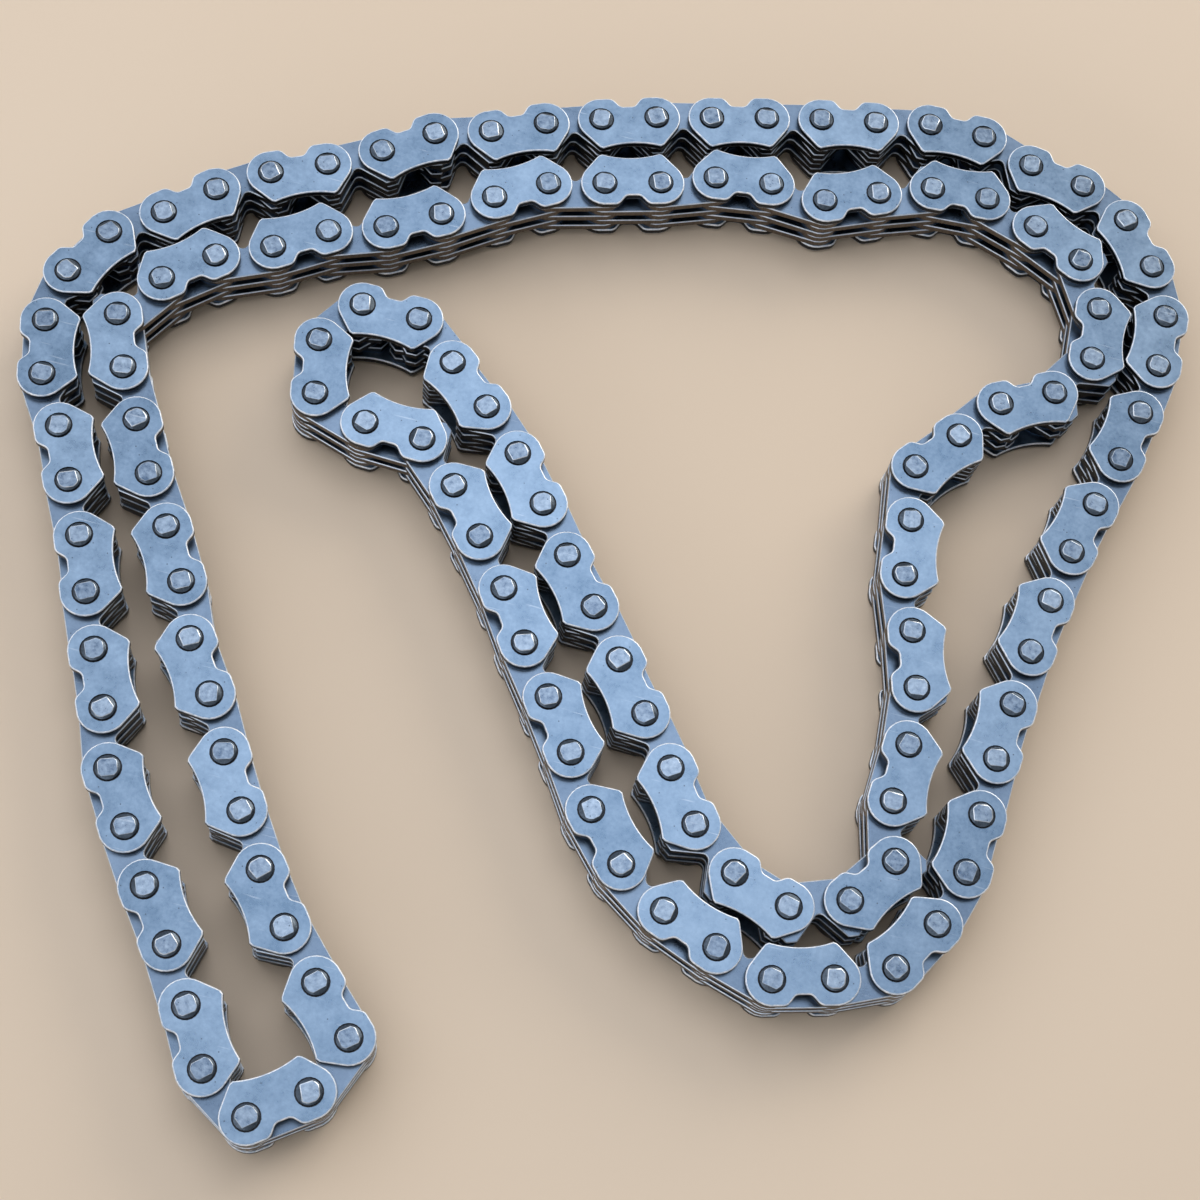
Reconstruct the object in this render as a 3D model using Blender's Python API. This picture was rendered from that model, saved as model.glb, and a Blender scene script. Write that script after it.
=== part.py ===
"""Silent cam chain laid down in a folded loop.

Metres, +Z up. Guide links (two guide plates, two tooth plates, two riveted pins) take turns
with rows of three tooth plates, so seven plates lie on each other round every pin.
The chain lies on its side on its lower rivet heads, with its teeth inside the loop.
The origin is in the middle of its outline, at the height of what it lies on.
"""

import math

import bmesh
import bpy
import numpy as np
from mathutils import Matrix, Vector

MM = 0.001

# Driving dimensions
PITCH = 6.35 * MM
PLATE_THICKNESS = 1.0 * MM
HEAD_HEIGHT = 0.35 * MM
PIN_RADIUS = 1.15 * MM
HEAD_RADIUS = 1.25 * MM
RUNNING_CLEARANCE = 0.08 * MM

# A chain of another pitch has plates of the same shape, so their outlines are measured in
# 127ths of the pitch, which are 0.05 mm here
OUTLINE_STEP = PITCH / 127
LOBE_RADIUS = 54 * OUTLINE_STEP

# Guide plate, measured from the line through its two pins
GUIDE_BACK = 55 * OUTLINE_STEP
GUIDE_NOTCH_FLOOR = 30 * OUTLINE_STEP
GUIDE_NOTCH_HALF_MOUTH = 40 * OUTLINE_STEP
GUIDE_SHOULDER_HEIGHT = 48.4 * OUTLINE_STEP
GUIDE_SHOULDER_PAST_PIN = 25 * OUTLINE_STEP
GUIDE_CORNER_DEPTH = 72 * OUTLINE_STEP
GUIDE_CORNER_PAST_PIN = 11.6 * OUTLINE_STEP

# Tooth plate, measured from the line through its two pins
TOOTH_BACK = 52 * OUTLINE_STEP
TOOTH_BACK_PAST_PIN = 19 * OUTLINE_STEP
TOOTH_DEPTH = 70 * OUTLINE_STEP
TOOTH_TIP_BEFORE_PIN = 3 * OUTLINE_STEP
CROTCH_DEPTH = 18 * OUTLINE_STEP

# Facets of the round pieces
PIN_SIDES = 6
HEAD_SIDES = 6
PIN_SMOOTH_ANGLE = math.radians(70)

# Lacing: the layers of each kind of row, counted from the surface the chain lies on
LOWER_GUIDE_LAYER = 0
GUIDE_ROW_TOOTH_LAYERS = (2, 4)
OTHER_ROW_TOOTH_LAYERS = (1, 3, 5)
UPPER_GUIDE_LAYER = 6
LEVELS = [HEAD_HEIGHT + layer * PLATE_THICKNESS for layer in range(UPPER_GUIDE_LAYER + 2)]

# The lay: the heading of every link in whole degrees, going round the loop with the teeth on
# the right. Each stretch starts at one working pivot and ends at the next. Its links take
# turns, starting with a row of three tooth plates and ending with a guide link.
LAY = {
    "outer_top": (86, 64, 39, 43, 36, 26, 32, 37, 19, 26, 21, 19, 16, 16, 15, 13, 14, 2, -20, -9, -28, -53),
    "outer_corner": (-67, -89, -100, -102, -107, -105, -102, -100, -98, -96),
    "outer_right": (-94, -94, -108, -121, -156, -165, 164, 159, 146, 132, 123, 125),
    "tongue_left": (127, 124, 128, 130),
    "tongue_tip_left": (137, 178, 163, 102),
    "tongue_tip_right": (58, 0, -40, -40),
    "tongue_right": (-44, -51, -52, -50, -52, -52),
    "lower_bend": (-52, -54, -38, -18, 20, 54),
    "inner_right": (103, 86, 93, 105, 108, 95, 96, 51, 53, 28, 57, 92),
    "inner_top_right": (119, 154, 162, -176, -158, -155, 177, -171, -158, -163),
    "inner_top_left": (-163, -148, -144, -149, -159, -146, -154, -138),
    "inner_left": (-121, -67, -60, -61, -56, -59, -65, -55, -60, -58, -56, -52),
    "foot_right": (-45, -44, -111, -144, 148, 121),
    "foot_left": (124, 127, 125, 123),
    "outer_left": (112, 116, 115, 114, 118, 117, 124, 105),
}


def closed_loop():
    """Pins one pitch apart, with the headings turned by the least amount that closes the loop."""
    turned = np.radians([heading for stretch in LAY.values() for heading in stretch])
    for _ in range(8):
        steps = np.array([np.cos(turned), np.sin(turned)])
        slopes = np.array([-steps[1], steps[0]])
        turned = turned - slopes.T @ np.linalg.solve(slopes @ slopes.T, steps.sum(axis=1))
    pins = PITCH * np.cumsum([np.cos(turned), np.sin(turned)], axis=1).T
    return np.roll(pins, 1, axis=0), turned


def mirrored(right_half):
    """A closed outline from its right half, listed from the back round to the teeth."""
    left_half = [(-x, y) for x, y in reversed(right_half) if x > 0.0]
    return right_half + left_half


def guide_outline():
    """Two lobes with a notch between them, straight flanks and corners past the pins."""
    half = PITCH / 2
    return mirrored([
        (0.0, GUIDE_NOTCH_FLOOR),
        (GUIDE_NOTCH_HALF_MOUTH, GUIDE_BACK),
        (half + GUIDE_SHOULDER_PAST_PIN, GUIDE_SHOULDER_HEIGHT),
        (half + LOBE_RADIUS, 0.0),
        (half + GUIDE_CORNER_PAST_PIN, -GUIDE_CORNER_DEPTH),
    ])


def tooth_outline():
    """A straight back, round ends and two teeth with the crotch between them."""
    half = PITCH / 2
    return mirrored([
        (half + TOOTH_BACK_PAST_PIN, TOOTH_BACK),
        (half + LOBE_RADIUS, 0.0),
        (half - TOOTH_TIP_BEFORE_PIN, -TOOTH_DEPTH),
        (0.0, -CROTCH_DEPTH),
    ])


def eye(side):
    """The hole for a working pin, at the left (-1) or right (1) end of a tooth plate."""
    radius = (PIN_RADIUS + RUNNING_CLEARANCE) / math.cos(math.pi / PIN_SIDES)
    turns = [2 * math.pi * (step + 0.5) / PIN_SIDES for step in range(PIN_SIDES)]
    return [(side * PITCH / 2 + radius * math.cos(turn), radius * math.sin(turn)) for turn in turns]


def plate_mesh(name, rings, bottom, top):
    """A flat plate blanked from its outline and holes, with its faces at two exact heights."""
    curve = bpy.data.curves.new(name, "CURVE")
    curve.dimensions = "2D"
    curve.fill_mode = "BOTH"
    curve.extrude = PLATE_THICKNESS / 2
    for ring in rings:
        spline = curve.splines.new("POLY")
        spline.points.add(len(ring) - 1)
        for point, (x, y) in zip(spline.points, ring):
            point.co = (x, y, 0.0, 1.0)
        spline.use_cyclic_u = True
    blank = bpy.data.objects.new(name, curve)
    bpy.context.scene.collection.objects.link(blank)
    graph = bpy.context.evaluated_depsgraph_get()
    mesh = bpy.data.meshes.new_from_object(blank.evaluated_get(graph))
    bpy.data.objects.remove(blank)
    work = bmesh.new()
    work.from_mesh(mesh)
    bmesh.ops.remove_doubles(work, verts=work.verts, dist=0.001 * MM)
    for vertex in work.verts:
        vertex.co.z = top if vertex.co.z > 0 else bottom
    work.to_mesh(mesh)
    work.free()
    mesh.name = name
    return mesh


def steel(name, colour, roughness):
    material = bpy.data.materials.new(name)
    material.use_nodes = True
    shader = material.node_tree.nodes["Principled BSDF"]
    shader.inputs["Base Color"].default_value = (*colour, 1.0)
    shader.inputs["Metallic"].default_value = 1.0
    shader.inputs["Roughness"].default_value = roughness
    return material


def new_object(name, mesh, collection, joint, matrix):
    """An object with its own place, carried by the empty that stands on its stretch's joint."""
    piece = bpy.data.objects.new(name, mesh)
    collection.objects.link(piece)
    piece.parent = joint
    piece.matrix_parent_inverse = Matrix.Translation(-joint.location)
    piece.matrix_basis = matrix
    return piece


def riveted_guide_mesh():
    """A guide plate with the heads of the two pins riveted in it, lying on its inner face."""
    mesh = plate_mesh("riveted_guide", [guide_outline()], 0.0, PLATE_THICKNESS)
    plate = bpy.data.objects.new("riveted_guide", mesh)
    bpy.context.scene.collection.objects.link(plate)
    heads = []
    head_root = PLATE_THICKNESS / 2
    head_top = PLATE_THICKNESS + HEAD_HEIGHT
    for side in (-1, 1):
        bpy.ops.mesh.primitive_cylinder_add(
            vertices=HEAD_SIDES,
            radius=HEAD_RADIUS,
            depth=head_top - head_root,
            location=(side * PITCH / 2, 0.0, (head_top + head_root) / 2),
        )
        heads.append(bpy.context.object)
        joined = plate.modifiers.new("head", "BOOLEAN")
        joined.operation = "UNION"
        joined.object = heads[-1]
    graph = bpy.context.evaluated_depsgraph_get()
    made = bpy.data.meshes.new_from_object(plate.evaluated_get(graph))
    for used in (plate, *heads):
        bpy.data.objects.remove(used)
    return made


def hidden_collection(name, parent):
    collection = bpy.data.collections.new(name)
    parent.children.link(collection)
    collection.hide_render = True
    return collection


def link_matrix(start, heading):
    """Stands a plate between its two pins: its middle half a pitch on from the first."""
    middle = start + PITCH / 2 * np.array([math.cos(heading), math.sin(heading)])
    return Matrix.Translation((*middle, 0.0)) @ Matrix.Rotation(heading, 4, "Z")


def plates_of_stretch(links, meshes):
    """The mesh and place of every plate that stays in one piece with its stretch."""
    last = len(links) - 1
    plates = []
    for number, (start, heading) in enumerate(links):
        place = link_matrix(start, heading)
        if number % 2 == 0:
            kind = "eye_at_start" if number == 0 else "tooth"
            layers = OTHER_ROW_TOOTH_LAYERS
        else:
            kind = "eye_at_end" if number == last else "tooth"
            layers = GUIDE_ROW_TOOTH_LAYERS
        plates += [(meshes[kind, layer], place) for layer in layers]
        if number % 2 == 1 and number != last:
            plates += [(meshes["guide", layer], place) for layer in (LOWER_GUIDE_LAYER, UPPER_GUIDE_LAYER)]
    return plates


def build_stretch(name, links, end, joint, meshes, looks, parts, blanks):
    """One stiff stretch: its laced plates, and the pin and guide plates of its end pivot."""
    own = hidden_collection(name + "_plates", blanks)
    plates = plates_of_stretch(links, meshes)
    for number, (mesh, place) in enumerate(plates[1:]):
        blank = new_object(f"{name}_plate_{number:03}", mesh, own, joint, place)
        blank.hide_render = True
        blank.display_type = "WIRE"
    first_mesh, first_place = plates[0]
    laced_mesh = first_mesh.copy()
    laced_mesh.transform(first_place)
    laced = new_object(name + "_links", laced_mesh, parts, joint, Matrix.Identity(4))
    laced.data.materials.append(looks["links"])
    union = laced.modifiers.new("laced", "BOOLEAN")
    union.operation = "UNION"
    union.operand_type = "COLLECTION"
    union.collection = own

    start, heading = links[-1]
    place = link_matrix(start, heading)
    turned_over = Matrix.Rotation(math.pi, 4, "Y")
    upper = place @ Matrix.Translation((0.0, 0.0, LEVELS[UPPER_GUIDE_LAYER]))
    lower = place @ Matrix.Translation((0.0, 0.0, LEVELS[LOWER_GUIDE_LAYER + 1])) @ turned_over
    for side, matrix in (("upper", upper), ("lower", lower)):
        guide = new_object(f"{name}_{side}_guide_plate", meshes["riveted"].copy(), parts, joint, matrix)
        guide.data.materials.append(looks["guides"])

    height = LEVELS[UPPER_GUIDE_LAYER] - LEVELS[LOWER_GUIDE_LAYER + 1]
    middle = (LEVELS[UPPER_GUIDE_LAYER] + LEVELS[LOWER_GUIDE_LAYER + 1]) / 2
    bpy.ops.mesh.primitive_cylinder_add(vertices=PIN_SIDES, radius=PIN_RADIUS, depth=height)
    pin_mesh = bpy.context.object.data
    bpy.data.objects.remove(bpy.context.object)
    pin_mesh.shade_smooth()
    pin_mesh.set_sharp_from_angle(angle=PIN_SMOOTH_ANGLE)
    pin = new_object(name + "_hinge_pin", pin_mesh, parts, joint, Matrix.Translation((*end, middle)))
    pin.data.materials.append(looks["pins"])


def outline_box(pins, headings):
    """The lowest and highest corners in plan of every plate's outline."""
    spots = []
    for start, heading in zip(pins, headings):
        place = link_matrix(start, heading)
        for x, y in guide_outline() + tooth_outline():
            spots.append(place @ Vector((x, y, 0.0)))
    spots = np.array(spots)[:, :2]
    return spots.min(axis=0), spots.max(axis=0)


def main():
    for old in list(bpy.data.objects):
        bpy.data.objects.remove(old)

    pins, headings = closed_loop()
    low, high = outline_box(pins, headings)
    pins = pins - (low + high) / 2

    meshes = {}
    tooth_kinds = {
        "tooth": [tooth_outline()],
        "eye_at_start": [tooth_outline(), eye(-1)],
        "eye_at_end": [tooth_outline(), eye(1)],
    }
    for layer in GUIDE_ROW_TOOTH_LAYERS + OTHER_ROW_TOOTH_LAYERS:
        for kind, rings in tooth_kinds.items():
            meshes[kind, layer] = plate_mesh(f"{kind}_{layer}", rings, LEVELS[layer], LEVELS[layer + 1])
    for layer in (LOWER_GUIDE_LAYER, UPPER_GUIDE_LAYER):
        meshes["guide", layer] = plate_mesh(f"guide_{layer}", [guide_outline()], LEVELS[layer], LEVELS[layer + 1])
    meshes["riveted"] = riveted_guide_mesh()

    looks = {
        "links": steel("polished_link_steel", (0.33, 0.39, 0.46), 0.34),
        "guides": steel("polished_guide_steel", (0.36, 0.43, 0.51), 0.3),
        "pins": steel("hardened_pin_steel", (0.42, 0.47, 0.53), 0.25),
    }
    parts = bpy.data.collections.new("cam_chain")
    bpy.context.scene.collection.children.link(parts)
    blanks = hidden_collection("plates_before_lacing", bpy.context.scene.collection)

    done = 0
    for name, stretch in LAY.items():
        links = [(pins[done + step], headings[done + step]) for step in range(len(stretch))]
        end = pins[(done + len(stretch)) % len(pins)]
        joint = bpy.data.objects.new(name + "_joint", None)
        joint.empty_display_size = PITCH / 2
        joint.location = (*pins[done], 0.0)
        parts.objects.link(joint)
        build_stretch(name, links, end, joint, meshes, looks, parts, blanks)
        done += len(stretch)


main()
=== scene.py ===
"""Looks of the silent cam chain: every plate, pin and rivet head of the folded loop.

The plates are modelled once, in millimetres, and each copy is set down in metres on its two pins.
"""

import math

import bmesh
import bpy
import numpy as np
from mathutils import Matrix, Vector


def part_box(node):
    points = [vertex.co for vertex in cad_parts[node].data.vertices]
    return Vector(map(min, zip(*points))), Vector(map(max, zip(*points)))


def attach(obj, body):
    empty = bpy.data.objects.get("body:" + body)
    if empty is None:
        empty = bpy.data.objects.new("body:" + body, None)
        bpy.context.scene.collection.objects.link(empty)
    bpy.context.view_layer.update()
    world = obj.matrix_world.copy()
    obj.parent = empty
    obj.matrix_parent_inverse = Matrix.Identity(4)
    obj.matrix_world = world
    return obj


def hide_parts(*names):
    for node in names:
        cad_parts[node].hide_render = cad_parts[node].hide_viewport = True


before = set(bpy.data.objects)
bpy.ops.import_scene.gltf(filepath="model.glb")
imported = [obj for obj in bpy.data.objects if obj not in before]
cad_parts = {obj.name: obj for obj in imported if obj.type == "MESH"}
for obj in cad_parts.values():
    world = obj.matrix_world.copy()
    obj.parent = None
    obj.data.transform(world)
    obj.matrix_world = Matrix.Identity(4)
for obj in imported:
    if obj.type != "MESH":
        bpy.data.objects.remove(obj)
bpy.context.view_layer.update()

MM = 0.001

# Sizes of the chain in millimetres, as in the part
PITCH = 6.35
HALF = PITCH / 2
LAYER = 1.0
HEAD_HEIGHT = 0.35
PLATE = 0.95
PIN_RADIUS = 1.15
HOLE_RADIUS = 1.27
LOBE_RADIUS = 2.7

# Guide plate: two lobes over the notch, straight flanks, and a hollow between the two corners
GUIDE_CORNER_RADIUS = 1.0
GUIDE_CORNER = (HALF - 0.1, -2.74)
NOTCH_FLOOR = 1.55
NOTCH_HALF_FLOOR = 0.43
NOTCH_FLOOR_RADIUS = 0.75
NOTCH_MOUTH = (2.2, 3.6)
NOTCH_MOUTH_RADIUS = 0.2
NOTCH_SHOULDER = 0.42
SHOULDER_LOW = 2.5
HOLLOW_RADIUS = 10.7
HOLLOW_DEPTH = 3.2
SEAT_RADIUS = 1.46
SEAT_DEPTH = 0.2

# Tooth plate: straight back, round ends, and two blunt teeth with an arched crotch between them
TOOTH_BACK = 2.6
TIP_RADIUS = 0.35
TIP_INNER = HALF - 0.1
TIP_OUTER = HALF + 0.45
TIP_DEPTH = 3.5
CROTCH_TOP = 0.9
CROTCH_RADIUS = 0.65
CROTCH_HALF_MOUTH = HALF - 0.45
CROTCH_MOUTH_RADIUS = 0.1

# Rivet head: a low cone struck flat on top and on four sides, each stroke at its own distance from
# the middle; the pins take turns with these four sets. A lean turns every other stroke, in radians.
HEAD_RADIUS = 1.3
HEAD_TOP_RADIUS = 1.08
HALF_STACK = 3.5 * LAYER
HALF_WAIST = 2.6 * LAYER
STROKES = (
    (0.86, 0.93, 0.90, 0.97),
    (0.76, 1.02, 0.98, 0.90),
    (0.92, 0.82, 1.04, 0.98),
    (0.84, 1.00, 0.86, 1.05),
)
LEANS = (0.0, 0.16, -0.2, 0.1)
STROKE_OUT = 0.6
STROKE_UP = 0.8

# Roundness of the edges that blanking and tumbling leave; edges nearer to a hole than the margin
# stay sharp, and points closer together than the weld's reach are merged
GUIDE_RIM = 0.14
TOOTH_RIM = 0.1
HEAD_RIM = 0.08
HOLE_MARGIN = 0.15
WELD_REACH = 0.09

# Play of the tooth plates on their pins, and the spread of the punch's turn
RATTLE = 0.02
RATTLE_TURN = math.radians(0.6)
PUNCH_TURN = math.radians(16)

# Layers that each kind of plate lies in, counted up from the floor
GUIDE_LAYERS = (0, 6)
GUIDE_ROW_TOOTH_LAYERS = (2, 4)
OTHER_ROW_TOOTH_LAYERS = (1, 3, 5)
MIDDLE_LAYER = 3

# Steps of this share of a turn never fall on the same shade twice
GOLDEN_SHARE = 0.6180339887

# The lay: the heading of every link in whole degrees, as in the part
LAY = {
    "outer_top": (86, 64, 39, 43, 36, 26, 32, 37, 19, 26, 21,
                  19, 16, 16, 15, 13, 14, 2, -20, -9, -28, -53),
    "outer_corner": (-67, -89, -100, -102, -107, -105, -102, -100, -98, -96),
    "outer_right": (-94, -94, -108, -121, -156, -165, 164, 159, 146, 132, 123, 125),
    "tongue_left": (127, 124, 128, 130),
    "tongue_tip_left": (137, 178, 163, 102),
    "tongue_tip_right": (58, 0, -40, -40),
    "tongue_right": (-44, -51, -52, -50, -52, -52),
    "lower_bend": (-52, -54, -38, -18, 20, 54),
    "inner_right": (103, 86, 93, 105, 108, 95, 96, 51, 53, 28, 57, 92),
    "inner_top_right": (119, 154, 162, -176, -158, -155, 177, -171, -158, -163),
    "inner_top_left": (-163, -148, -144, -149, -159, -146, -154, -138),
    "inner_left": (-121, -67, -60, -61, -56, -59, -65, -55, -60, -58, -56, -52),
    "foot_right": (-45, -44, -111, -144, 148, 121),
    "foot_left": (124, 127, 125, 123),
    "outer_left": (112, 116, 115, 114, 118, 117, 124, 105),
}


def closed_loop():
    """Pins one pitch apart, with the headings turned by the least amount that closes the loop."""
    turned = np.radians([heading for stretch in LAY.values() for heading in stretch])
    for _ in range(8):
        steps = np.array([np.cos(turned), np.sin(turned)])
        slopes = np.array([-steps[1], steps[0]])
        turned = turned - slopes.T @ np.linalg.solve(slopes @ slopes.T, steps.sum(axis=1))
    pins = PITCH * np.cumsum([np.cos(turned), np.sin(turned)], axis=1).T
    return np.roll(pins, 1, axis=0), turned


# Materials


def colour(hex_value):
    """An sRGB hex colour as the linear values that the shader takes."""
    channels = [int(hex_value[at:at + 2], 16) / 255 for at in (1, 3, 5)]
    return (*[c / 12.92 if c <= 0.04045 else ((c + 0.055) / 1.055) ** 2.4 for c in channels], 1.0)


def add_node(tree, kind, settings=None, inputs=None):
    """Adds a node with its settings; an input is a value, or the socket that feeds it."""
    node = tree.nodes.new(kind)
    for name, value in (settings or {}).items():
        setattr(node, name, value)
    for name, value in (inputs or {}).items():
        if isinstance(value, bpy.types.NodeSocket):
            tree.links.new(value, node.inputs[name])
        else:
            node.inputs[name].default_value = value
    return node


def per_mm(size):
    """The scale of a pattern on Object coordinates whose features are this many millimetres."""
    return 1.0 / (size * MM)


def new_material(name):
    """A material with its node tree and its surface shader."""
    material = bpy.data.materials.new(name)
    material.use_nodes = True
    tree = material.node_tree
    return material, tree, tree.nodes["Principled BSDF"]


def tumbled_steel(name, dark, light, cloud_size, grain_height):
    """Hardened steel, blanked and tumbled: a satin blue-grey face, clouded, pitted and scratched."""
    material, tree, shader = new_material(name)
    place = add_node(tree, "ShaderNodeTexCoord").outputs["Object"]
    clouds = add_node(tree, "ShaderNodeTexNoise", None,
                      {"Vector": place, "Scale": per_mm(cloud_size), "Detail": 4.0, "Roughness": 0.55})
    grain = add_node(tree, "ShaderNodeTexNoise", None,
                     {"Vector": place, "Scale": per_mm(0.45), "Detail": 4.0, "Roughness": 0.65})
    # Tumbling pits are some 0.05 mm wide in reality; these are drawn three times as wide, to show
    pits = add_node(tree, "ShaderNodeTexVoronoi", None, {"Vector": place, "Scale": per_mm(1.1)})
    pit_mask = add_node(tree, "ShaderNodeMapRange", None,
                        {"Value": pits.outputs["Distance"], "From Min": 0.04, "From Max": 0.09})
    tone = add_node(tree, "ShaderNodeAttribute", {"attribute_name": "plate_tone"})
    cloud_and_grain = add_node(tree, "ShaderNodeMath", {"operation": "MULTIPLY_ADD"},
                               {0: grain.outputs["Fac"], 1: 0.6, 2: clouds.outputs["Fac"]})
    shade = add_node(tree, "ShaderNodeMath", {"operation": "MULTIPLY_ADD"},
                     {0: tone.outputs["Fac"], 1: 0.25, 2: cloud_and_grain.outputs[0]})
    share = add_node(tree, "ShaderNodeMapRange", None,
                     {"Value": shade.outputs[0], "From Min": 0.6, "From Max": 1.4})
    steel = add_node(tree, "ShaderNodeMix", {"data_type": "RGBA"},
                     {"Factor": share.outputs[0], "A": colour(dark), "B": colour(light)})
    pitted = add_node(tree, "ShaderNodeMix", {"data_type": "RGBA"},
                      {"Factor": pit_mask.outputs[0], "A": colour("#4A5664"), "B": steel.outputs["Result"]})
    # Hairlines left by the other pieces in the tumbling drum run across the faces at a slant
    slant = add_node(tree, "ShaderNodeMapping", None,
                     {"Vector": place, "Rotation": (0.0, 0.0, math.radians(35)), "Scale": (0.06, 1.0, 0.2)})
    hairs = add_node(tree, "ShaderNodeTexNoise", None,
                     {"Vector": slant.outputs[0], "Scale": per_mm(0.3), "Detail": 2.0})
    hair_mask = add_node(tree, "ShaderNodeMapRange", None,
                         {"Value": hairs.outputs["Fac"], "From Min": 0.69, "From Max": 0.76, "To Max": 0.2})
    scratched = add_node(tree, "ShaderNodeMix", {"data_type": "RGBA"},
                         {"Factor": hair_mask.outputs[0],
                          "A": pitted.outputs["Result"], "B": colour("#D5DEE8")})
    tree.links.new(scratched.outputs["Result"], shader.inputs["Base Color"])
    rough = add_node(tree, "ShaderNodeMapRange", None,
                     {"Value": cloud_and_grain.outputs[0], "From Min": 0.4, "From Max": 1.0,
                      "To Min": 0.23, "To Max": 0.34})
    tree.links.new(rough.outputs[0], shader.inputs["Roughness"])
    bump = add_node(tree, "ShaderNodeBump", None,
                    {"Strength": 0.35, "Distance": grain_height * MM, "Height": grain.outputs["Fac"]})
    tree.links.new(bump.outputs[0], shader.inputs["Normal"])
    shader.inputs["Metallic"].default_value = 1.0
    return material


def burnished_rim_with_painted_glint(name, light, roughness, metal_share):
    """The same steel where handling and tumbling have burnished its edge: smoother, and brighter by a
    painted glint.
    """
    material, tree, shader = new_material(name)
    place = add_node(tree, "ShaderNodeTexCoord").outputs["Object"]
    nicks = add_node(tree, "ShaderNodeTexNoise", None,
                     {"Vector": place, "Scale": per_mm(0.5), "Detail": 3.0, "Roughness": 0.6})
    worn = add_node(tree, "ShaderNodeMapRange", None,
                    {"Value": nicks.outputs["Fac"], "From Min": 0.35, "From Max": 0.65})
    steel = add_node(tree, "ShaderNodeMix", {"data_type": "RGBA"},
                     {"Factor": worn.outputs[0], "A": colour("#C4D4E6"), "B": colour(light)})
    tree.links.new(steel.outputs["Result"], shader.inputs["Base Color"])
    rough = add_node(tree, "ShaderNodeMapRange", None,
                     {"Value": nicks.outputs["Fac"], "From Min": 0.3, "From Max": 0.7,
                      "To Min": roughness, "To Max": roughness + 0.12})
    tree.links.new(rough.outputs[0], shader.inputs["Roughness"])
    # The fine roundness that makes a rim glint from every side is too small to model; a matt share and the
    # pale, near-white base colour stand for it, a painted glint
    shader.inputs["Metallic"].default_value = metal_share
    return material


def blanked_edge_with_painted_shade(name, dark, light):
    """The sheared wall that blanking leaves: dull, with fine lines across the plate's thickness; its dark
    colours are partly painted shade, for the shade between the stacked plates.
    """
    material, tree, shader = new_material(name)
    place = add_node(tree, "ShaderNodeTexCoord").outputs["Object"]
    # Shear lines run along Z, so the pattern is stretched that way
    along = add_node(tree, "ShaderNodeMapping", None, {"Vector": place, "Scale": (1.0, 1.0, 0.12)})
    lines = add_node(tree, "ShaderNodeTexNoise", None,
                     {"Vector": along.outputs[0], "Scale": per_mm(0.2), "Detail": 3.0, "Roughness": 0.6})
    steel = add_node(tree, "ShaderNodeMix", {"data_type": "RGBA"},
                     {"Factor": lines.outputs["Fac"], "A": colour(dark), "B": colour(light)})
    tree.links.new(steel.outputs["Result"], shader.inputs["Base Color"])
    bump = add_node(tree, "ShaderNodeBump", None,
                    {"Strength": 0.4, "Distance": 0.02 * MM, "Height": lines.outputs["Fac"]})
    tree.links.new(bump.outputs[0], shader.inputs["Normal"])
    shader.inputs["Metallic"].default_value = 1.0
    shader.inputs["Roughness"].default_value = 0.4
    return material


def seamless_floor():
    """Matt card under the chain: pale beige with a faint paper tooth."""
    material, tree, shader = new_material("beige_card")
    place = add_node(tree, "ShaderNodeTexCoord").outputs["Object"]
    clouds = add_node(tree, "ShaderNodeTexNoise", None,
                      {"Vector": place, "Scale": per_mm(90.0), "Detail": 2.0})
    tooth = add_node(tree, "ShaderNodeTexNoise", None,
                     {"Vector": place, "Scale": per_mm(0.8), "Detail": 2.0})
    card = add_node(tree, "ShaderNodeMix", {"data_type": "RGBA"},
                    {"Factor": clouds.outputs["Fac"], "A": colour("#DCC9B2"), "B": colour("#E2D1BC")})
    tree.links.new(card.outputs["Result"], shader.inputs["Base Color"])
    bump = add_node(tree, "ShaderNodeBump", None,
                    {"Strength": 0.15, "Distance": 0.05 * MM, "Height": tooth.outputs["Fac"]})
    tree.links.new(bump.outputs[0], shader.inputs["Normal"])
    shader.inputs["Roughness"].default_value = 0.75
    return material


# Modelling, in millimetres


def deselect_all():
    bpy.ops.object.select_all(action="DESELECT")


def pick(piece):
    """Makes this piece the only one selected, and the active one."""
    deselect_all()
    bpy.context.view_layer.objects.active = piece
    piece.select_set(True)


def post(radius, x, y, sides, depth, z=0.0):
    """Adds an upright cylinder; a plate's blank is stretched round such posts."""
    bpy.ops.mesh.primitive_cylinder_add(vertices=sides, radius=radius, depth=depth, location=(x, y, z),
                                        rotation=(0.0, 0.0, math.pi / sides))


def blank_round_posts(name, posts, depth=PLATE):
    """A flat blank whose outline is a band stretched round upright posts."""
    deselect_all()
    radius, x, y, sides = posts[0]
    post(radius, x, y, sides, depth)
    blank = bpy.context.object
    bpy.ops.object.transform_apply(location=True, rotation=True, scale=True)
    bpy.ops.object.mode_set(mode="EDIT")
    for radius, x, y, sides in posts[1:]:
        post(radius, x, y, sides, depth)
    bpy.ops.mesh.select_all(action="SELECT")
    bpy.ops.mesh.convex_hull()
    bpy.ops.mesh.select_all(action="SELECT")
    bpy.ops.mesh.dissolve_limited(angle_limit=math.radians(0.5))
    bpy.ops.object.mode_set(mode="OBJECT")
    blank.name = name
    return blank


def cut(piece, *cutters):
    """Takes each cutter's shape out of the piece."""
    for cutter in cutters:
        modifier = piece.modifiers.new("cut", "BOOLEAN")
        modifier.operation = "DIFFERENCE"
        modifier.solver = "EXACT"
        modifier.object = cutter
        bpy.context.view_layer.objects.active = piece
        bpy.ops.object.modifier_apply(modifier=modifier.name)
        bpy.data.objects.remove(cutter)


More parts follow.
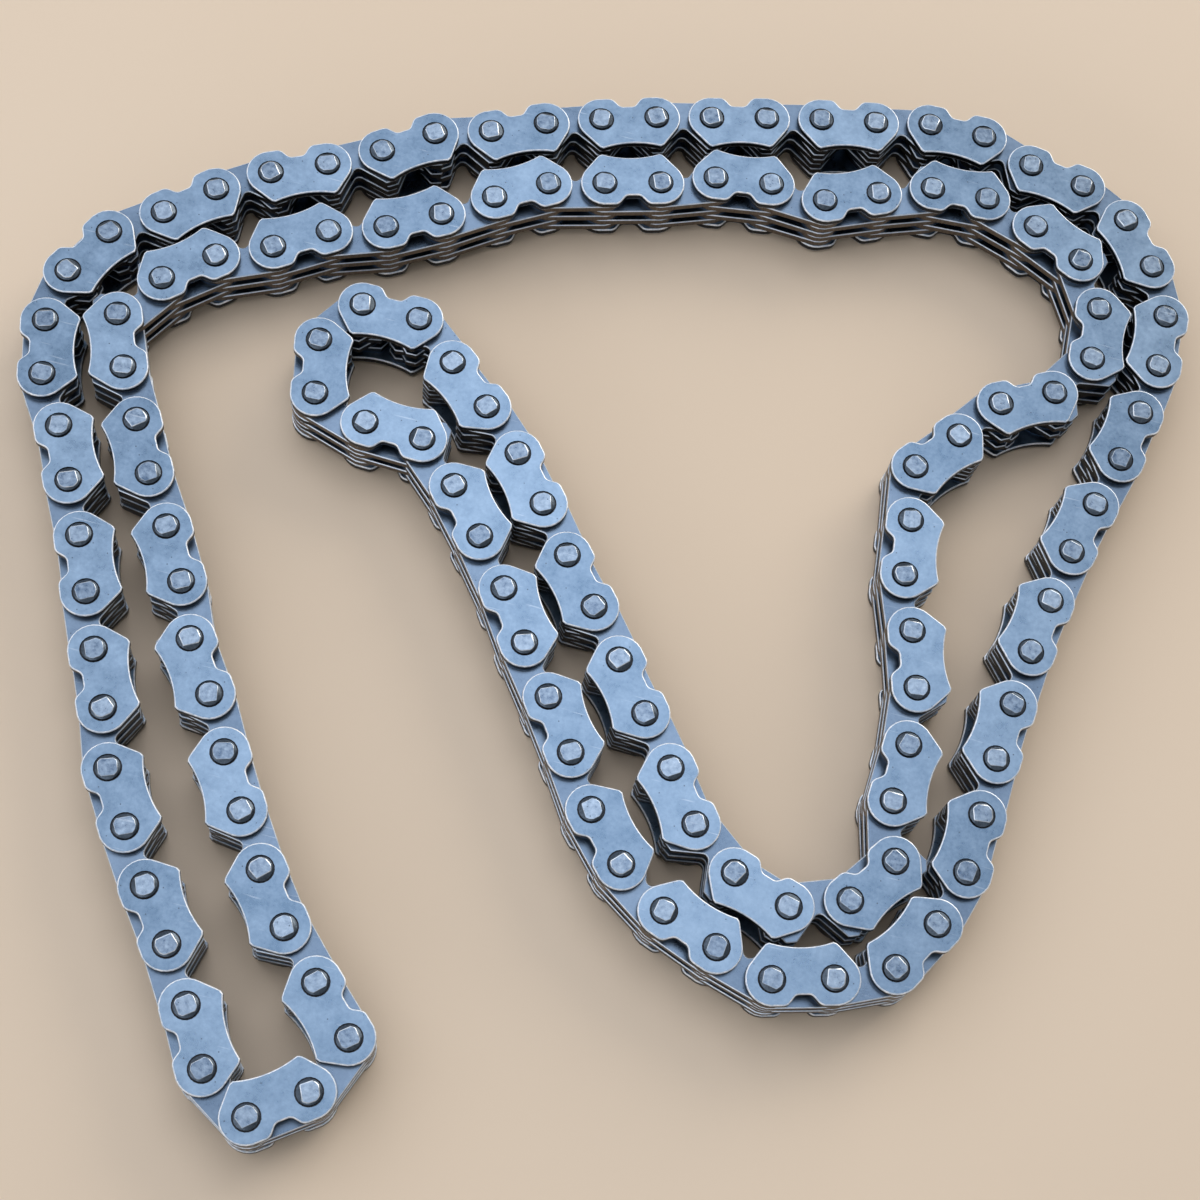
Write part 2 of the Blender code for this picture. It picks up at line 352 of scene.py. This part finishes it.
def weld(piece):
    """Merges the points that a bevel leaves on top of each other."""
    pick(piece)
    bpy.ops.object.mode_set(mode="EDIT")
    bpy.ops.mesh.select_all(action="SELECT")
    bpy.ops.mesh.remove_doubles(threshold=WELD_REACH)
    bpy.ops.object.mode_set(mode="OBJECT")


def cylinder_cutter(radius, x, y, sides, depth=3 * PLATE, z=0.0):
    """An upright cylinder as an object of its own, deep enough to go through a plate."""
    deselect_all()
    post(radius, x, y, sides, depth, z)
    return bpy.context.object


def select_edges(piece, test):
    """Selects the edges that the test picks by their two ends."""
    pick(piece)
    bpy.ops.object.mode_set(mode="EDIT")
    bpy.ops.mesh.select_mode(type="EDGE")
    bpy.ops.mesh.select_all(action="DESELECT")
    work = bmesh.from_edit_mesh(piece.data)
    for edge in work.edges:
        edge.select_set(test(edge))
    bmesh.update_edit_mesh(piece.data)


def soften(piece, test, width, segments, slot):
    """Rounds the edges that the test picks; the round takes the finish in this slot."""
    select_edges(piece, test)
    bpy.ops.mesh.bevel(offset=width, offset_type="OFFSET", segments=segments, profile=0.5, material=slot,
                       clamp_overlap=True)
    bpy.ops.object.mode_set(mode="OBJECT")


def paint_walls(piece, slot):
    """Gives the upright faces their own finish, dark partly by painted shade; the flat faces keep the
    first.
    """
    for face in piece.data.polygons:
        if abs(face.normal.z) < 0.2:
            face.material_index = slot


def smooth_but_flat_on_top(piece, angle):
    """Round walls and rims shade smoothly; the two faces of a plate stay dead flat."""
    pick(piece)
    bpy.ops.object.shade_smooth_by_angle(angle=math.radians(angle))
    for face in piece.data.polygons:
        if abs(face.normal.z) > 0.98:
            face.use_smooth = False


def at_height(height):
    """Picks the edges that lie at this distance above or below the middle."""
    return lambda edge: all(abs(abs(vertex.co.z) - height) < 0.01 for vertex in edge.verts)


def in_notch_mouth(edge):
    """Picks the upright edges where the notch meets the two lobes."""
    a, b = (vertex.co for vertex in edge.verts)
    in_mouth = all(v.y > SHOULDER_LOW and abs(v.x) < HALF - 0.6 for v in (a, b))
    return in_mouth and abs(a.z - b.z) > 0.5 * PLATE and edge.calc_face_angle(0.0) > math.radians(25)


def on_outline(half_depth, hole_reach):
    """Picks the edges round a flat face, leaving out those of the pin holes."""

    def test(edge):
        a, b = (vertex.co for vertex in edge.verts)
        if abs(abs(a.z) - half_depth) > 0.01 or abs(a.z - b.z) > 0.01:
            return False
        return min(math.hypot(abs(v.x) - HALF, v.y) for v in (a, b)) > hole_reach

    return test


def dress(piece, *materials):
    for material in materials:
        piece.data.materials.append(material)


def guide_plate(face, rim, wall):
    """Outer plate: blanked round its lobes, notched at the back, hollowed between the corners."""
    x, y = GUIDE_CORNER
    posts = [(LOBE_RADIUS, side * HALF, 0.0, 28) for side in (-1, 1)]
    posts += [(GUIDE_CORNER_RADIUS, side * x, y, 16) for side in (-1, 1)]
    plate = blank_round_posts("guide_plate", posts)
    dress(plate, face, rim, wall)
    floor = NOTCH_FLOOR + NOTCH_FLOOR_RADIUS
    mouth_x, mouth_y = NOTCH_MOUTH
    notch = blank_round_posts(
        "notch",
        [(NOTCH_FLOOR_RADIUS, side * NOTCH_HALF_FLOOR, floor, 24) for side in (-1, 1)]
        + [(NOTCH_MOUTH_RADIUS, side * mouth_x, mouth_y, 8) for side in (-1, 1)],
        3 * PLATE,
    )
    hollow = cylinder_cutter(HOLLOW_RADIUS, 0.0, -HOLLOW_DEPTH - HOLLOW_RADIUS, 96)
    holes = [cylinder_cutter(PIN_RADIUS, side * HALF, 0.0, 16) for side in (-1, 1)]
    seats = [cylinder_cutter(SEAT_RADIUS, side * HALF, 0.0, 20, 2 * SEAT_DEPTH, PLATE / 2)
             for side in (-1, 1)]
    cut(plate, notch, hollow, *holes, *seats)
    soften(plate, in_notch_mouth, NOTCH_SHOULDER, 3, -1)
    weld(plate)
    paint_walls(plate, 2)
    # The seat floors take the dark wall colour too: painted shade for the dark ring round each rivet head
    for polygon in plate.data.polygons:
        seat_floor_in_painted_shade = polygon.normal.z > 0.9 and polygon.center.z < PLATE / 2 - SEAT_DEPTH / 2
        if seat_floor_in_painted_shade:
            polygon.material_index = 2
    soften(plate, on_outline(PLATE / 2, SEAT_RADIUS + HOLE_MARGIN), GUIDE_RIM, 2, 1)
    smooth_but_flat_on_top(plate, 35)
    return plate


def tooth_plate(face, rim, flank, back):
    """Inner plate: straight back, round ends, two blunt teeth and the arched crotch between them."""
    posts = [(TOOTH_BACK, side * HALF, 0.0, 24) for side in (-1, 1)]
    posts += [(TIP_RADIUS, side * x, -TIP_DEPTH + TIP_RADIUS, 12)
              for side in (-1, 1) for x in (TIP_INNER, TIP_OUTER)]
    plate = blank_round_posts("tooth_plate", posts)
    dress(plate, face, rim, flank, back)
    crotch = blank_round_posts(
        "crotch",
        [(CROTCH_RADIUS, 0.0, -CROTCH_TOP - CROTCH_RADIUS, 16)]
        + [(CROTCH_MOUTH_RADIUS, side * CROTCH_HALF_MOUTH, -TIP_DEPTH - 0.2, 6) for side in (-1, 1)],
        3 * PLATE,
    )
    holes = [cylinder_cutter(HOLE_RADIUS, side * HALF, 0.0, 12) for side in (-1, 1)]
    cut(plate, crotch, *holes)
    paint_walls(plate, 2)
    for polygon in plate.data.polygons:
        if polygon.normal.y > 0.5:
            polygon.material_index = 3
    soften(plate, on_outline(PLATE / 2, HOLE_RADIUS + HOLE_MARGIN), TOOTH_RIM, 1, 1)
    smooth_but_flat_on_top(plate, 35)
    return plate


def rivet_pin(number, lean, reaches, face, rim, side):
    """Ground pin with its two struck heads: a low cone cut flat on top and on four sides."""
    top = HALF_STACK + HEAD_HEIGHT
    deselect_all()
    bpy.ops.mesh.primitive_cylinder_add(vertices=20, radius=HEAD_RADIUS, depth=2 * top,
                                        location=(0.0, 0.0, 0.0))
    pin = bpy.context.object
    pin.name = f"rivet_pin_{number}"
    dress(pin, face, rim, side)
    shoulder = HEAD_RADIUS - HEAD_TOP_RADIUS
    soften(pin, at_height(top), shoulder, 1, -1)
    # Four strokes of the riveting punch at each end, each leaning a little differently
    bpy.ops.object.mode_set(mode="EDIT")
    for end in (1, -1):
        for stroke, reach in enumerate(reaches):
            turn = stroke * math.pi / 2 + lean * (stroke % 2)
            slope = Vector((math.cos(turn) * STROKE_OUT, math.sin(turn) * STROKE_OUT, end * STROKE_UP))
            edge = Vector((math.cos(turn) * reach, math.sin(turn) * reach, end * top))
            bpy.ops.mesh.select_all(action="SELECT")
            bpy.ops.mesh.bisect(plane_co=edge, plane_no=slope, clear_outer=True)
            # The body is still convex here, so a hull closes the cut
            bpy.ops.mesh.select_all(action="SELECT")
            bpy.ops.mesh.convex_hull()
    bpy.ops.mesh.select_all(action="SELECT")
    bpy.ops.mesh.dissolve_limited(angle_limit=math.radians(0.5))
    # Below the heads the pin is thinner, where the inner plates turn on it
    for height in (HALF_WAIST, -HALF_WAIST):
        bpy.ops.mesh.select_all(action="SELECT")
        bpy.ops.mesh.bisect(plane_co=(0.0, 0.0, height), plane_no=(0.0, 0.0, 1.0))
    work = bmesh.from_edit_mesh(pin.data)
    for piece_face in work.faces:
        piece_face.select_set(abs(piece_face.calc_center_median().z) < HALF_WAIST)
    bmesh.update_edit_mesh(pin.data)
    bpy.ops.mesh.extrude_region_shrink_fatten(
        TRANSFORM_OT_shrink_fatten={"value": -(HEAD_RADIUS - PIN_RADIUS)})
    bpy.ops.object.mode_set(mode="OBJECT")
    # All but the struck flats take the side colour, which is dark partly by painted shade round the head
    for polygon in pin.data.polygons:
        struck_flat = abs(polygon.normal.z) > 0.95 and abs(polygon.center.z) > top - 0.02
        polygon.material_index = 0 if struck_flat else 2
    soften(pin, at_height(top), HEAD_RIM, 1, 1)
    smooth_but_flat_on_top(pin, 25)
    return pin


# Setting down the chain


def link_place(start, heading):
    """Where the middle of a link lies, and which way it points."""
    middle = start + PITCH / 2 * np.array([math.cos(heading), math.sin(heading)])
    return Matrix.Translation((*middle, 0.0)) @ Matrix.Rotation(heading, 4, "Z")


def layer_height(layer):
    """The middle of a layer above the floor."""
    return HEAD_HEIGHT + (layer + 0.5) * LAYER


def set_down(master, place, tone):
    """One more copy with its own mesh, set down in metres, carrying its own shade of steel."""
    mesh = master.data.copy()
    mesh.transform(Matrix.Scale(MM, 4) @ place)
    tones = mesh.attributes.new("plate_tone", "FLOAT", "POINT")
    tones.data.foreach_set("value", np.full(len(mesh.vertices), tone, np.float32))
    copy = bpy.data.objects.new("copy", mesh)
    bpy.context.scene.collection.objects.link(copy)
    return copy


def joined(name, copies, body, slot, *nodes):
    """One piece of all these copies, riding on its stretch and standing for its CAD nodes."""
    deselect_all()
    for copy in copies:
        copy.select_set(True)
    bpy.context.view_layer.objects.active = copies[0]
    bpy.ops.object.join()
    piece = copies[0]
    piece.name = name
    piece.data.name = name
    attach(piece, body)
    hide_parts(*nodes)
    return piece


def shade_of(number):
    """A repeatable shade from 0 to 1 for each plate, so that no two neighbours match."""
    return (number * GOLDEN_SHARE) % 1.0


def swing(number):
    """A repeatable value from -1 to 1."""
    return 2 * shade_of(number) - 1


def main():
    guide_face = tumbled_steel("tumbled_guide_plate_steel", "#5A7087", "#8CA3BB", 2.6, 0.02)
    # Near-white rim colour: a painted glint on the burnished edge
    guide_rim = burnished_rim_with_painted_glint("burnished_guide_rim_painted_glint", "#F8FBFF", 0.3, 0.3)
    # Near-black wall colours: painted shade in the gaps between the plates, over the dull sheared steel
    guide_wall = blanked_edge_with_painted_shade("blanked_guide_edge_painted_shade", "#14181F", "#434549")
    # The tooth plates' steel is set darker than the guides': painted shade on faces that lie below and
    # between the guide plates
    tooth_face = tumbled_steel("tumbled_tooth_plate_steel_painted_shade", "#586A7F", "#7C90A7", 2.6, 0.02)
    # Near-white rim colour: a painted glint on the burnished edge
    tooth_rim = burnished_rim_with_painted_glint("burnished_tooth_rim_painted_glint", "#E6EEF8", 0.28, 0.4)
    # Near-black flank colours: painted shade in the recesses between the teeth and the plates
    tooth_flank = blanked_edge_with_painted_shade("shaved_tooth_flank_painted_shade", "#0D0E10", "#303133")
    tooth_back = blanked_edge_with_painted_shade("blanked_tooth_back", "#3E3935", "#857B71")
    head_face = tumbled_steel("struck_rivet_head_steel", "#4C5E74", "#A2B4C7", 0.7, 0.08)
    # Near-white rim colour: a painted glint on the burnished edge
    head_rim = burnished_rim_with_painted_glint("burnished_rivet_rim_painted_glint", "#EEF3F8", 0.14, 0.6)
    # Dark head-side colours: partly painted shade, for the dark ring round each rivet head
    head_side = blanked_edge_with_painted_shade("struck_rivet_side_painted_shade", "#333D49", "#7C8A99")

    guide = guide_plate(guide_face, guide_rim, guide_wall)
    tooth = tooth_plate(tooth_face, tooth_rim, tooth_flank, tooth_back)
    pins_made = [rivet_pin(number, lean, reaches, head_face, head_rim, head_side)
                 for number, (lean, reaches) in enumerate(zip(LEANS, STROKES))]
    masters = [guide, tooth, *pins_made]

    pins, headings = closed_loop()
    first_low, first_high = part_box("outer_top_hinge_pin")
    hinge = (first_low + first_high) / 2 / MM
    pins = pins + (np.array(hinge)[:2] - pins[len(LAY["outer_top"])])

    done = 0
    for name, stretch in LAY.items():
        guides, teeth, rivets = [], [], []
        for step in range(len(stretch)):
            link = done + step
            place = link_place(pins[link], headings[link])
            if step % 2 == 0:
                layers = OTHER_ROW_TOOTH_LAYERS
            else:
                layers = GUIDE_ROW_TOOTH_LAYERS
                for layer in GUIDE_LAYERS:
                    height = Matrix.Translation((0.0, 0.0, layer_height(layer)))
                    turn = Matrix.Rotation(math.pi if layer == 0 else 0.0, 4, "Y")
                    guides.append(set_down(guide, height @ place @ turn, shade_of(link + layer)))
                for pin in (link, (link + 1) % len(pins)):
                    spot = Matrix.Translation((*pins[pin], layer_height(MIDDLE_LAYER)))
                    turn = Matrix.Rotation(headings[link] + PUNCH_TURN * swing(3 * pin + 1), 4, "Z")
                    rivets.append(set_down(pins_made[pin % len(pins_made)], spot @ turn, shade_of(pin)))
            for layer in layers:
                height = Matrix.Translation((0.0, 0.0, layer_height(layer)))
                number = 7 * link + layer
                play = (Matrix.Translation((RATTLE * swing(number), RATTLE * swing(number + 3), 0.0))
                        @ Matrix.Rotation(RATTLE_TURN * swing(number + 5), 4, "Z"))
                teeth.append(set_down(tooth, height @ place @ play, shade_of(2 * link + layer)))
        joined(name + "_tooth_plates", teeth, name, "tooth_plates", name + "_links")
        joined(name + "_guide_plates", guides, name, "guide_plates",
               name + "_upper_guide_plate", name + "_lower_guide_plate")
        joined(name + "_rivet_pins", rivets, name, "rivet_pins", name + "_hinge_pin")
        done += len(stretch)
    for master in masters:
        bpy.data.objects.remove(master)

    camera_and_light()


# The photograph's camera, solved from the equal spacing of the pins
LENS = 67.96
SENSOR = 36.0
CAMERA_TILT = 0.3585554
CAMERA_ROLL = 0.2506022
CAMERA_PLACE = (5.617 * MM, -86.867 * MM, (222.268 + 7.6) * MM)


def lamp(name, place, aim, width, depth, power, hex_value):
    """A softbox that faces a point."""
    deselect_all()
    bpy.ops.object.light_add(type="AREA", location=place)
    light = bpy.context.object
    light.name = name
    light.rotation_euler = (Vector(aim) - Vector(place)).to_track_quat("-Z", "Y").to_euler()
    light.data.shape = "RECTANGLE"
    light.data.size = width
    light.data.size_y = depth
    light.data.energy = power
    light.data.color = colour(hex_value)[:3]


def camera_and_light():
    """The solved camera, the card under the chain, a pale room and four softboxes."""
    data = bpy.data.cameras.new("camera")
    data.sensor_width = SENSOR
    data.lens = LENS
    data.clip_start = 0.01
    camera = bpy.data.objects.new("camera", data)
    bpy.context.scene.collection.objects.link(camera)
    camera.matrix_world = (
        Matrix.Translation(CAMERA_PLACE)
        @ Matrix.Rotation(CAMERA_TILT, 4, "X")
        @ Matrix.Rotation(CAMERA_ROLL, 4, "Z")
    )
    bpy.context.scene.camera = camera

    deselect_all()
    bpy.ops.mesh.primitive_plane_add(size=8.0, location=(0.0, 0.0, 0.0))
    floor = bpy.context.object
    floor.name = "floor"
    floor.data.materials.append(seamless_floor())

    world = bpy.data.worlds.new("studio")
    bpy.context.scene.world = world
    world.use_nodes = True
    background = world.node_tree.nodes["Background"]
    background.inputs["Color"].default_value = colour("#E4E5E6")
    background.inputs["Strength"].default_value = 0.32
    lamp("overhead_softbox", (-0.31, 0.22, 0.66), (0.0, 0.0, 0.0), 1.2, 1.2, 4.9, "#F6F8FF")
    lamp("overhead_core", (0.01, 0.2, 0.62), (0.0, 0.0, 0.0), 0.3, 0.4, 0.4, "#F6F8FF")
    lamp("window_side_softbox", (0.55, 1.05, 0.55), (-0.03, 0.05, 0.0), 0.8, 0.8, 7.8, "#FFF4E6")
    lamp("front_strip", (-0.3, -0.65, 0.28), (0.0, 0.0, 0.0), 1.6, 0.25, 1.8, "#F6F8FF")
    bpy.context.scene.view_settings.view_transform = "Standard"


main()
